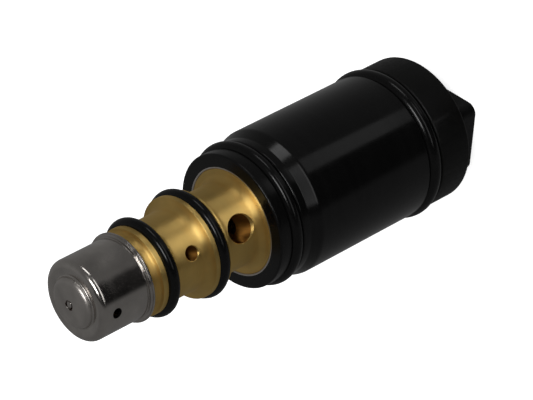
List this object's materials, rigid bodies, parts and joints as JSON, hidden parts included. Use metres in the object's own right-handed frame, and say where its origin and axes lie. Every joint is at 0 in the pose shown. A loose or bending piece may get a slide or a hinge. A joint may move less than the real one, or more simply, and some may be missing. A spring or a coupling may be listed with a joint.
{
  "type": "compressor control valve",
  "caption": "Solenoid control valve for a variable compressor: grooved brass valve body with a steel nose cap, rubber rings, black solenoid can and a moulded connector socket.",
  "frame": {"origin": "on the valve's axis, at the rim of the connector socket, where it stands", "axes": "+Z along the valve's axis towards the nose, +X along the long side of the connector socket"},
  "size_m": [0.03, 0.03, 0.0926],
  "materials": {
    "nose_steel": "satin drawn steel",
    "body_brass": "satin turned brass",
    "ground_steel": "ground",
    "bellows_metal": "bright",
    "spring_steel": "bright drawn wire",
    "ring_rubber": "smooth black rubber",
    "black_casing": "semi-gloss black",
    "tube_steel": "bright stainless",
    "core_iron": "turned iron",
    "bobbin_plastic": "natural nylon",
    "coil_copper": "enamelled copper wire",
    "black_plastic": "moulded, matte",
    "terminal_metal": "tin plated"
  },
  "bodies": {
    "valve": {"nose_cap": "nose_steel", "valve_body": "body_brass", "bellows": "bellows_metal", "bellows_fixed_plate": "bellows_metal", "bellows_stop": "ground_steel", "bellows_spring": "spring_steel", "nose_o_ring": "ring_rubber", "middle_o_ring": "ring_rubber", "front_case_o_ring": "ring_rubber", "rear_case_o_ring": "ring_rubber", "front_collar": "black_casing", "solenoid_casing": "black_casing", "plunger_tube": "tube_steel", "fixed_core": "core_iron", "air_gap_washer": "tube_steel", "return_spring": "spring_steel", "front_field_plate": "core_iron", "rear_field_plate": "core_iron", "coil_bobbin": "bobbin_plastic", "coil_winding": "coil_copper", "connector_cap": "black_plastic", "terminal_right": "terminal_metal", "terminal_left": "terminal_metal"},
    "plunger": {"plunger": "core_iron", "valve_rod": "ground_steel", "bellows_moving_plate": "bellows_metal"}
  },
  "joints": [
    {"name": "plunger_slide", "type": "slide", "parent": "valve", "child": "plunger", "axis": [0, 0, 1], "range_m": [0, 0.001], "stiffness_N_per_m": 2000, "springref_m": -0.001, "deforming": ["return_spring", "bellows", "bellows_spring"]}
  ]
}
